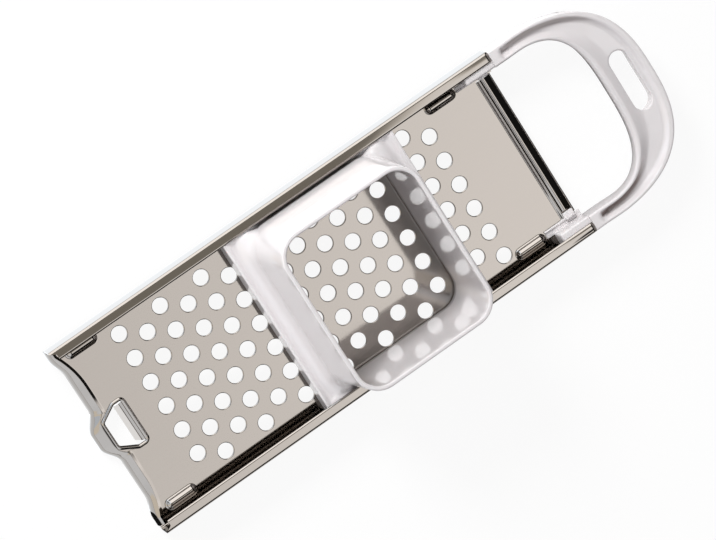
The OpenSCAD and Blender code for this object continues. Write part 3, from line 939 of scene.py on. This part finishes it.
def base_rings():
    """Down to the sweep, out over the base, round its edge, down its side and underneath."""
    wall = rounded_rect(wall_x, wall_y, wall_r)
    edge = rounded_rect(base_half - edge_round, runner_half - edge_round, 1.0 * MM)
    edge = cut_sides(edge, edge_margin)
    side = cut_sides(rounded_rect(base_half, runner_half, 1.5 * MM), side_margin)
    first = base_height(wall)
    rings = [ring_at(wall, sweep_top + (first - sweep_top) * s) for s in np.linspace(0, 1, 10)[1:]]
    reach = base_half - edge_round - wall_x
    turn = np.radians(np.linspace(0, 90, 20)[1:])
    on_sweep = sweep_r * (1 - np.cos(turn)) / reach
    for s in np.concatenate([on_sweep, np.linspace(sweep_r / reach, 1, 5)[1:]]):
        xy = wall + (edge - wall) * s
        rings.append(ring_at(xy, base_height(xy)))
    edge_z = rings[-1][:, 2]
    for a in np.radians([30, 60, 90]):
        xy = edge + (side - edge) * math.sin(a)
        rings.append(ring_at(xy, edge_z - edge_round * (1 - math.cos(a))))
    for s in (0.25, 0.5, 0.75, 1):
        rings.append(ring_at(side, (edge_z - edge_round) * (1 - s) + (base_z + foot_round) * s))
    inner = rounded_rect(mouth_l / 2 + foot_round, mouth_w / 2 + foot_round, corner_r + foot_round)
    return rings + [ring_at(loop, base_z) for loop in (edge, wall, inner)]


def build_hopper():
    """All rings in order, as a grid that is closed both ways and moved to the hopper's place."""
    rings = np.array(wall_rings() + base_rings())
    rings[:, :, 0] += hopper_x
    rows, columns = rings.shape[:2]
    faces = grid_faces(rows, columns, closed_rows=True, closed_columns=True)
    mesh = make_mesh("hopper", rings.reshape(-1, 3), faces, sharp=50)
    add_piece("hopper_moulding", [mesh], "carriage", plastic, ["hopper"])


build_hopper()

# %% [markdown]
# ## The handle
#
# Seen from above, the bow lies between two superellipses, a round one outside and a squarer
# one inside. Sweeping a section along a curve would pinch at the tight corners, so the bow is
# cut as a flat shape with its slot, and its upper skin sinks into a valley with a flat
# bottom. The depth depends on the distance to both edges: the wide part has a shallower
# valley with a wider inner bank. Near every edge the skin drops along a circle, which rounds
# the edge. The legs in the rails are blocks with rounded edges of the same moulding.

# %% The bow's curves
bow_x = rear_x + straight_l
inner_half = bow_half - leg_w
outer_reach, inner_reach = bow_tip - bow_x, rear_x + gap_reach - bow_x
outer_power, inner_power = 2.65, 3.1
flare_l, lead_n = 15.0 * MM, 7
slot_x = (bow_tip + rear_x + gap_reach) / 2


def leg_to_leg(reach, half, power, n):
    """Half a superellipse, with a straight lead at both ends.

    On it, x over its reach and y over its half-width, each raised to the power, add up to 1.
    Over flare_l the half-width grows to that of the rails.
    """
    a = np.radians(np.linspace(90, -90, n))
    x = bow_x + reach * np.abs(np.cos(a)) ** (2 / power)
    y = half * np.sign(np.sin(a)) * np.abs(np.sin(a)) ** (2 / power)
    y *= 1 + (half_w / bow_half - 1) * ease(bow_x, bow_x + flare_l, x)
    lead = np.linspace(rear_x, bow_x, lead_n + 1)[:-1]
    full_x = np.concatenate([lead, x, lead[::-1]])
    full_y = np.concatenate([np.full(lead_n, half), y, np.full(lead_n, -half)])
    return np.stack([full_x, full_y], 1)


def bow_curve(share, n=97):
    """A curve from leg to leg: share 0 is the outer edge, 1 the inner one, between them a blend."""
    outer = leg_to_leg(outer_reach, bow_half, outer_power, n)
    inner = leg_to_leg(inner_reach, inner_half, inner_power, n)
    return outer + (inner - outer) * share


def slot_loop(grow, n=17):
    """The hanging slot's outline along Y, grown by a margin."""
    reach = (slot_l - slot_w) / 2
    loop = stadium_loop(-reach, reach, 0, slot_w / 2 + grow, n)
    return np.stack([slot_x - loop[:, 1], loop[:, 0]], 1)


def offset_curve(curve, distance):
    """A curve shifted to the right of its own direction."""
    step = directions(curve)
    return curve + distance * np.stack([step[:, 1], -step[:, 0]], 1)


print(f"the bow is {(outer_reach - inner_reach) / MM:.1f} mm wide at its tip")

# %% The bow's relief
solid_l = 6.0 * MM
narrow_w, wide_from, wide_to = 10.0 * MM, 11.0 * MM, 24.0 * MM
wide_share = 0.5
bank_growth, inner_growth = 0.1, 0.3
outer_round, inner_round, slot_round = 1.0 * MM, 1.3 * MM, 0.9 * MM
under_round, slot_under_round = 3.5 * MM, 2.0 * MM


def edge_drop(d, r):
    """How far a skin lies below its full height at distance d from an edge of radius r."""
    return r - np.sqrt(np.maximum(r ** 2 - np.maximum(r - d, 0) ** 2, 0))


def valley_share(xy):
    """0 on the edges and 1 on the valley's bottom, and the distances to both edges.

    Each bank is a straight ramp. It starts further in, and the inner one is longer, by a
    share of the width over narrow_w. The valley fades out where the legs are solid.
    """
    to_outer, to_inner = curve_distance(xy, bow_curve(0)), curve_distance(xy, bow_curve(1))
    lead = ease(rear_x + solid_l - 1 * MM, rear_x + solid_l + 3 * MM, xy[:, 0])
    extra = np.maximum(to_outer + to_inner - narrow_w, 0)
    edge = edge_w + bank_growth * extra
    from_outer = (to_outer - edge) / valley_run
    from_inner = (to_inner - edge) / (valley_run + inner_growth * extra)
    return lead * np.clip(np.minimum(from_outer, from_inner), 0, 1), to_outer, to_inner


def bow_skins(xy, outer, inner):
    """Heights of both skins: the top less the valley and the drops, the bottom plus its own."""
    share, to_outer, to_inner = valley_share(xy)
    to_edge = np.minimum(curve_distance(xy, outer), curve_distance(xy, inner))
    to_slot = curve_distance(xy, closed(slot_loop(0)))
    wide = ease(wide_from, wide_to, to_outer + to_inner)
    valley = valley_depth * (1 - wide_share * wide) * np.sin(np.pi / 2 * share) ** 1.2
    drop = edge_drop(to_outer, outer_round) + edge_drop(to_inner, inner_round * (1 + wide))
    drop += edge_drop(to_slot, slot_round)
    rise = edge_drop(to_edge, under_round) + edge_drop(to_slot, slot_under_round)
    return handle_top - valley - drop, handle_low.z + rise


print(f"the valley is {valley_depth / MM:.1f} mm deep, and half of that where the bow is wide")

# %% Helper points on the bow
edge_lines = np.array([0.08, 0.25, 0.5, 0.9, 1.3, 1.6, 1.9, 2.3, 2.8, 3.3, 3.9, 4.5]) * MM
slot_rings = np.array([0.08, 0.25, 0.5, 0.9, 1.3]) * MM


def bow_lines(outer, inner):
    """Points along both edges and between them, where they don't crowd each other or the slot."""
    lines = []
    for d in edge_lines:
        for curve, other, side in ((outer, inner, 1), (inner, outer, -1)):
            line = offset_curve(curve, side * d)
            kept = (line[:, 0] > rear_x - 0.01 * MM) & (curve_distance(line, other) > d + 0.1 * MM)
            lines.append(line[kept & (curve_distance(line, curve) > d * 0.98)])
    for share in np.linspace(0.15, 0.85, 15):
        line = bow_curve(share)
        to_edge = np.minimum(curve_distance(line, outer), curve_distance(line, inner))
        lines.append(line[(to_edge > 5.1 * MM) | (share == 0.5)])
    return [line[~inside(line, [slot_loop(1.45 * MM)])] for line in lines]


helpers = bow_lines(bow_curve(0), bow_curve(1))
print(sum(map(len, helpers)), "helper points on the bow")

# %% Walls that lean back
gap_lean, slot_lean = 2.2 * MM, 1.8 * MM
lean_from, lean_to, slot_lean_w = rear_x + 12 * MM, rear_x + 32 * MM, 5.0 * MM


def draw_under(mesh, outer, inner):
    """Leans the walls of the gap and of the slot back under the bow, as a mould needs it.

    A point moves away from the gap or the slot by a share that falls off with its distance
    from there and grows with its depth below the valley.
    """
    points = np.array([v.co for v in mesh.vertices])
    xy = points[:, :2]
    nearest = np.argmin(np.linalg.norm(xy[:, None] - inner[None], axis=2), axis=1)
    across = (outer - inner)[nearest]
    width = np.linalg.norm(across, axis=1)
    amount = gap_lean * (1 - np.clip(curve_distance(xy, inner) / (0.6 * width), 0, 1))
    amount *= ease(lean_from, lean_to, xy[:, 0])
    slot_half = (slot_l - slot_w) / 2
    on_axis = np.stack([np.full(len(xy), slot_x), np.clip(xy[:, 1], -slot_half, slot_half)], 1)
    away = xy - on_axis
    reach = np.linalg.norm(away, axis=1)
    slot_amount = slot_lean * (1 - np.clip((reach - slot_w / 2) / slot_lean_w, 0, 1))
    depth = ease(handle_top - valley_depth - 1 * MM, handle_low.z, points[:, 2])
    shift = across / width[:, None] * amount[:, None] + away / reach[:, None] * slot_amount[:, None]
    points[:, :2] += shift * depth[:, None]
    mesh.vertices.foreach_set("co", points.ravel())
    mesh.update()


print(f"the gap's wall leans back by {gap_lean / MM:.1f} mm, the slot's by {slot_lean / MM:.1f} mm")


# %% The bow's mesh
def build_bow():
    """The flat shape between both curves, cut out by the slot, with its skins and leaning walls."""
    outer, inner = bow_curve(0), bow_curve(1)
    outlines = [np.vstack([outer, inner[::-1]]), slot_loop(0)]
    xy, tri = triangulate(outlines, [slot_loop(g) for g in slot_rings], helpers)
    mesh = solid_sheet("bow", xy, tri, *bow_skins(xy, outer, inner), sharp=60)
    draw_under(mesh, outer, inner)
    return mesh


bow = build_bow()
print("the bow has", len(bow.polygons), "faces")

# %% The legs in the rails
leg_in_l, foot_l, foot_h = 18.0 * MM, 22.0 * MM, 3.4 * MM
leg_outer = half_w - sheet_t - 0.3 * MM
foot_inner = end_high.y + 0.1 * MM
foot_back = {1: 1.3 * MM, -1: 0}
tab_l, tab_reach = 6.0 * MM, {1: 0.8 * MM, -1: 3.0 * MM}


def rounded_block(low, high, r, n=5):
    """A block with all edges rounded: a sphere's points, pushed apart to the block's corners."""
    low, high = np.array(low, float), np.array(high, float)
    lon = np.radians(np.concatenate([90 * k + np.linspace(0, 90, n) for k in range(4)]))
    lat = np.radians(np.concatenate([np.linspace(-90, 0, n), np.linspace(0, 90, n)]))[:, None]
    sx, sy = np.repeat([1, -1, -1, 1], n)[None], np.repeat([1, 1, -1, -1], n)[None]
    sz = np.repeat([-1, 1], n)[:, None]
    ball = [np.cos(lat) * np.cos(lon), np.cos(lat) * np.sin(lon), np.sin(lat) + 0 * lon]
    half, centre = (high - low) / 2 - r, (high + low) / 2
    shift = np.broadcast_arrays(sx * half[0], sy * half[1], sz * half[2])
    points = np.stack(ball, -1) * r + np.stack(shift, -1) + centre
    rows, columns = points.shape[:2]
    faces = list(grid_faces(rows, columns, closed_columns=True))
    faces += [list(range(columns)), list(range((rows - 1) * columns, rows * columns))]
    return make_mesh("block", points.reshape(-1, 3), faces, sharp=60)


def leg_blocks(side):
    """Leg, foot, the foot's rim and the tab over the rolled end, for the rail on one side."""
    rear, joined = rear_x - foot_l, rear_x + 1 * MM
    start = foot_inner + foot_back[side]
    tab_x = end_high.x - roll_r

    def block(x0, y0, z0, x1, y1, z1, r):
        """A rounded block whose y sizes are mirrored to its side."""
        ys = sorted((side * y0, side * y1))
        return rounded_block((x0, ys[0], z0), (x1, ys[1], z1), r)

    return [
        block(rear_x - leg_in_l, inner_half, deck_z, joined, leg_outer, lip_under, 1.2 * MM),
        block(rear, start, deck_z,
              joined - 0.5 * MM, inner_half + 1 * MM, deck_z + 0.7 * MM, 0.3 * MM),
        block(rear, start, deck_z, tab_x, start + 1.1 * MM, deck_z + 1.5 * MM, 0.5 * MM),
        block(tab_x - tab_l / 2, start - tab_reach[side], deck_z + ridge_h + 0.2 * MM,
              tab_x + tab_l / 2, start + 1 * MM, deck_z + foot_h, 0.4 * MM),
    ]


legs = leg_blocks(1) + leg_blocks(-1)
print("the legs are", len(legs), "blocks")

# %% The handle with its painted shade
# Painted shade for the valleys: its share on each side, the widths where it fades out, and the
# distances from the bank where it starts and ends.
painted_shade_share, painted_shade_fade = {1: 0.5, -1: 0.95}, {1: 34 * MM, -1: 17 * MM}
painted_shade_full_w = 11 * MM
painted_shade_start, painted_shade_end = (1.4 * MM, 2.2 * MM), (6.2 * MM, 4.2 * MM)


def painted_groove_shade(points):
    """1 where shade is painted: along one bank of the valley, fading where the bow gets wide.

    On the left side it lies along the outer bank, and on the right along the inner one.
    """
    left = points[:, 1] > 0
    share, to_outer, to_inner = valley_share(points[:, :2])
    bank, width = np.where(left, to_outer, to_inner), to_outer + to_inner
    deep = ease(0.05, 0.3, share)
    deep *= ease(*painted_shade_start, bank) * ease(*painted_shade_end, bank)
    fade = [painted_shade_share[side] * ease(painted_shade_fade[side], painted_shade_full_w, width) for side in (1, -1)]
    deep *= np.where(left, *fade)
    on_top = points[:, 2] > handle_top - 1.2 * valley_depth
    return deep * on_top * (points[:, 0] > rear_x)


handle = add_piece("handle_moulding", [bow] + legs, "tray", plastic, ["handle"])
# The groove value paints shade on the handle, along the valley banks that face away from the key
# lamp.
painted_shade = painted_groove_shade(np.array([v.co for v in handle.data.vertices]))
groove = handle.data.attributes.new("groove", "FLOAT", "POINT")
groove.data.foreach_set("value", painted_shade)
print(f"film on {np.count_nonzero(painted_shade > 0.1)} of {len(painted_shade)} points")

# %% [markdown]
# ## The floor and the cards on it
#
# The tool lies on a plain white floor. The floor shows itself to the camera, and to mirrors,
# as nearly white, with a share of real shading that keeps the tool's shadow. Some cards on
# the floor, which only mirrors see, brighten the outside of the left rail and the hook and
# darken the rolled end and one corner, as a photographer's cards do.

# %% Floor
floor_z = cad_box[0].z - 0.0003
floor_colour, floor_glow, glow_share = (0.92, 0.92, 0.92, 1), 1.03, 0.88


def emission(nodes, strength, colour=(1, 1, 1, 1)):
    """A node that glows evenly."""
    glow = nodes.new("ShaderNodeEmission")
    glow.inputs["Color"].default_value = colour
    glow.inputs["Strength"].default_value = strength
    return glow.outputs[0]


def background_floor():
    """A matt floor, mixed with an even glow by glow_share for camera and mirror rays only."""
    material, nodes, links, shader = new_material("white_floor")
    shader.inputs["Base Color"].default_value = floor_colour
    shader.inputs["Roughness"].default_value = 0.8
    path = nodes.new("ShaderNodeLightPath")
    seen = nodes.new("ShaderNodeMath")
    seen.operation = "MAXIMUM"
    links.new(path.outputs["Is Camera Ray"], seen.inputs[0])
    links.new(path.outputs["Is Glossy Ray"], seen.inputs[1])
    share = nodes.new("ShaderNodeMath")
    share.operation = "MULTIPLY"
    share.inputs[1].default_value = glow_share
    links.new(seen.outputs[0], share.inputs[0])
    mix = nodes.new("ShaderNodeMixShader")
    links.new(share.outputs[0], mix.inputs[0])
    links.new(shader.outputs[0], mix.inputs[1])
    links.new(emission(nodes, floor_glow), mix.inputs[2])
    links.new(mix.outputs[0], nodes["Material Output"].inputs["Surface"])
    return material


def add_plane(name, centre, size, material):
    """A flat rectangle of the given size round a centre, marked as staging."""
    (x, y, z), w, h = centre, size[0] / 2, size[1] / 2
    corners = [(x - w, y - h, z), (x + w, y - h, z), (x + w, y + h, z), (x - w, y + h, z)]
    mesh = bpy.data.meshes.new(name)
    mesh.from_pydata(corners, [], [(0, 1, 2, 3)])
    plane = bpy.data.objects.new(name, mesh)
    bpy.context.scene.collection.objects.link(plane)
    mesh.materials.append(material)
    print(f"{name}: {size[0]:.3f} x {size[1]:.3f} m")
    return plane


add_plane("floor", (0, 0, floor_z), (12, 12), background_floor())

# %% Cards on the floor
card_colour = (0.95, 1.0, 1.05, 1)
card_lift, dark = 0.1 * MM, 0.02


def card_material(name, strength):
    """A card that shows one even brightness, a little blue against the warmth of the steel."""
    material, nodes, links, _ = new_material(name)
    glow = emission(nodes, strength, card_colour)
    links.new(glow, nodes["Material Output"].inputs["Surface"])
    return material


def add_card(name, low, high, strength, layer=1):
    """A card that lies on the floor between two corners and is seen in mirrors only."""
    centre = ((low[0] + high[0]) / 2, (low[1] + high[1]) / 2, floor_z + card_lift * layer)
    size = (high[0] - low[0], high[1] - low[1])
    card = add_plane(name, centre, size, card_material(name, strength))
    card.visible_camera = card.visible_diffuse = card.visible_shadow = False


window_y = 14 * MM
add_card("side_card", (front_x - 20 * MM, half_w), (rear_x + 60 * MM, half_w + 80 * MM), 1.75)
add_card("hook_card", (front_x - 80 * MM, -half_w), (window_front - 4 * MM, half_w - 1 * MM), 1.55)
add_card("window_card", (window_front - 4 * MM, -window_y), (window_back, window_y), 2.4)
corner = (front_x - 60 * MM, -half_w - 10 * MM), (front_x, 10 * MM - half_w)
add_card("corner_card", *corner, dark, layer=2)
add_card("dark_card", (rear_x - 1 * MM, -55 * MM), (rear_x + 50 * MM, 50 * MM), dark, layer=2)

# %% [markdown]
# ## What the steel mirrors
#
# Smooth steel shows its surroundings more than itself, so the world is painted for mirrors, by
# the direction in which a mirrored ray leaves. There is a bright ceiling panel over the tool,
# which ends towards the handle and has a dark gap across it, a greyer strip of ceiling beside
# it, a lamp box beyond the left rail, and a dark room elsewhere. Its light is cooler towards
# the hook and warmer towards the left. A picture of a studio could be used instead, but such
# steps keep each edge where the steel needs it. Matt faces see only an even, weak light.

# %% Helpers for the world
world = bpy.data.worlds.new("studio")
bpy.context.scene.world = world
world.use_nodes = True
sky_nodes, sky_links = world.node_tree.nodes, world.node_tree.links


def sky_put(socket, value):
    """Sets a socket to a number or colour, or links another socket to it."""
    if isinstance(value, (int, float, tuple)):
        socket.default_value = value
    else:
        sky_links.new(value, socket)


def sky_math(operation, first, *others):
    """Folds numbers and sockets from the left with one operation, a Math node each."""
    for other in others:
        node = sky_nodes.new("ShaderNodeMath")
        node.operation = operation
        sky_put(node.inputs[0], first)
        sky_put(node.inputs[1], other)
        first = node.outputs[0]
    return first


def sky_step(value, start, stop, low, high):
    """Maps value smoothly from low at start to high at stop."""
    node = sky_nodes.new("ShaderNodeMapRange")
    node.interpolation_type = "SMOOTHSTEP"
    names = ("Value", "From Min", "From Max", "To Min", "To Max")
    for name, number in zip(names, (value, start, stop, low, high)):
        sky_put(node.inputs[name], number)
    return node.outputs["Result"]


def sky_tint(share, colour_0, colour_1):
    """A colour that goes from colour_0 to colour_1 with the share."""
    node = sky_nodes.new("ShaderNodeMix")
    node.data_type = "RGBA"
    for name, given in (("Factor", share), ("A", colour_0), ("B", colour_1)):
        sky_put(node.inputs[name], given)
    return node.outputs["Result"]


way = sky_nodes.new("ShaderNodeSeparateXYZ")
sky_put(way.inputs[0], sky_nodes.new("ShaderNodeTexCoord").outputs["Generated"])
way_x, way_y = way.outputs["X"], way.outputs["Y"]
print("the world starts from", len(sky_nodes), "nodes")

# %% What mirrors see
room, lamp_strength, strip_strength = 0.02, 3.0, 0.48
to_hook = sky_math("MINIMUM", way_x, 0.0)
to_left = sky_math("ADD", way_y, sky_math("MULTIPLY", to_hook, 1.5))
to_right = sky_math("SUBTRACT", way_y, sky_math("MULTIPLY", to_hook, 0.6))
over = sky_step(way_x, 0.3, 0.44, 1.0, 0.0)
before_gap = sky_step(way_x, -0.3, -0.2, 1.0, 0.05)
after_gap = sky_step(way_x, 0.0, 0.07, 0.05, 1.0)
panel_strength = sky_math(
    "ADD", sky_step(way_x, 0.06, 0.26, 1.7, 2.15), sky_step(way_y, -0.26, -0.18, 0.1, 0.0))
panel = sky_math(
    "MULTIPLY",
    sky_step(to_left, -0.14, -0.07, 1.0, 0.0),
    sky_step(to_right, -0.66, -0.5, 0.0, 1.0),
    sky_math("MAXIMUM", before_gap, after_gap),
    over,
    panel_strength,
)
strip = sky_math(
    "MULTIPLY",
    sky_step(to_left, -0.14, -0.07, 0.0, strip_strength),
    sky_step(way_y, 0.16, 0.22, 1.0, 0.0),
    sky_step(way_x, 0.0, 0.06, 0.0, 1.0),
    over,
)
lamp_box = sky_math(
    "MULTIPLY",
    sky_step(way_y, 0.27, 0.36, 0.0, lamp_strength),
    sky_step(way_x, 0.35, 0.5, 1.0, 0.0),
    sky_step(way_x, -0.45, -0.3, 0.0, 1.0),
)
mirrored = sky_nodes.new("ShaderNodeBackground")
sky_put(mirrored.inputs["Strength"], sky_math("ADD", panel, strip, lamp_box, room))
print("with panel, strip and lamp box it has", len(sky_nodes))

# %% Tints, and matt faces apart from mirrors
neutral, cool_white = (1.0, 1.0, 1.0, 1), (0.93, 0.99, 1.06, 1)
warm_white, blue_white = (1.0, 0.95, 0.84, 1), (0.8, 0.9, 1.02, 1)
cool = sky_tint(sky_step(way_x, -0.4, 0.05, 0.0, 1.0), cool_white, neutral)
warm = sky_tint(sky_step(way_y, -0.16, -0.06, 0.0, 1.0), cool, warm_white)
blue = sky_tint(sky_step(way_x, -0.1, 0.05, 0.0, 1.0), blue_white, cool)
tint = sky_tint(sky_step(way_y, 0.2, 0.3, 0.0, 1.0), warm, blue)
sky_put(mirrored.inputs["Color"], tint)

even = sky_nodes["Background"]
even.inputs["Color"].default_value = (1.0, 0.98, 0.99, 1)
even.inputs["Strength"].default_value = 0.38
apart = sky_nodes.new("ShaderNodeMixShader")
glossy_ray = sky_nodes.new("ShaderNodeLightPath").outputs["Is Glossy Ray"]
for socket, value in zip(apart.inputs, (glossy_ray, even.outputs[0], mirrored.outputs[0])):
    sky_put(socket, value)
sky_put(sky_nodes["World Output"].inputs["Surface"], apart.outputs[0])
print("the whole world has", len(sky_nodes))

# %% [markdown]
# ## Lamps and camera
#
# The key lamp stands beyond the left rail, because the faces turned that way are the
# brightest, and a weak one fills from the hook. Mirrors don't see them: what they see is
# painted above. The camera is a long lens that looks down the slanted line of the photograph,
# turned so that the tool lies askew in its frame.

# %% Lamps
lamp_target = (0.02, 0, 0.03)


def add_lamp(name, place, size, power):
    """A square area lamp that points at the tool and lights it without being seen."""
    data = bpy.data.lights.new(name, "AREA")
    data.shape = "RECTANGLE"
    data.size = data.size_y = size
    data.energy = power
    lamp = bpy.data.objects.new(name, data)
    bpy.context.scene.collection.objects.link(lamp)
    lamp.location = place
    lamp.rotation_mode = "QUATERNION"
    lamp.rotation_quaternion = (Vector(lamp_target) - Vector(place)).to_track_quat("-Z", "Y")
    lamp.visible_camera = False
    lamp.visible_glossy = False
    print(f"{name}: {power} W")


add_lamp("key_lamp", (-0.25, 1.28, 0.9), 0.5, 19)
add_lamp("fill_lamp", (-1.4, -0.1, 0.4), 0.6, 2.6)

# %% Camera
lens, film_w = 190.0, 36.0
camera_place = Vector((-0.3065, 0.4278, 1.8844))
camera_target = Vector((0.02645, -0.00301, 0.0))
camera_up = Vector((0.56356, 0.82135, -0.0882))


def add_camera():
    """A camera whose axes are worked out from its place, its target and its upward direction."""
    data = bpy.data.cameras.new("camera")
    data.lens = lens
    data.sensor_width = film_w
    data.clip_start, data.clip_end = 0.05, 50
    camera = bpy.data.objects.new("camera", data)
    bpy.context.scene.collection.objects.link(camera)
    back = (camera_place - camera_target).normalized()
    right = camera_up.cross(back).normalized()
    up = back.cross(right)
    axes = Matrix((right, up, back)).transposed().to_4x4()
    camera.matrix_world = Matrix.Translation(camera_place) @ axes
    bpy.context.scene.camera = camera


add_camera()
bpy.context.scene.view_settings.view_transform = "Standard"
print(f"the camera is {(camera_place - camera_target).length:.2f} m away")
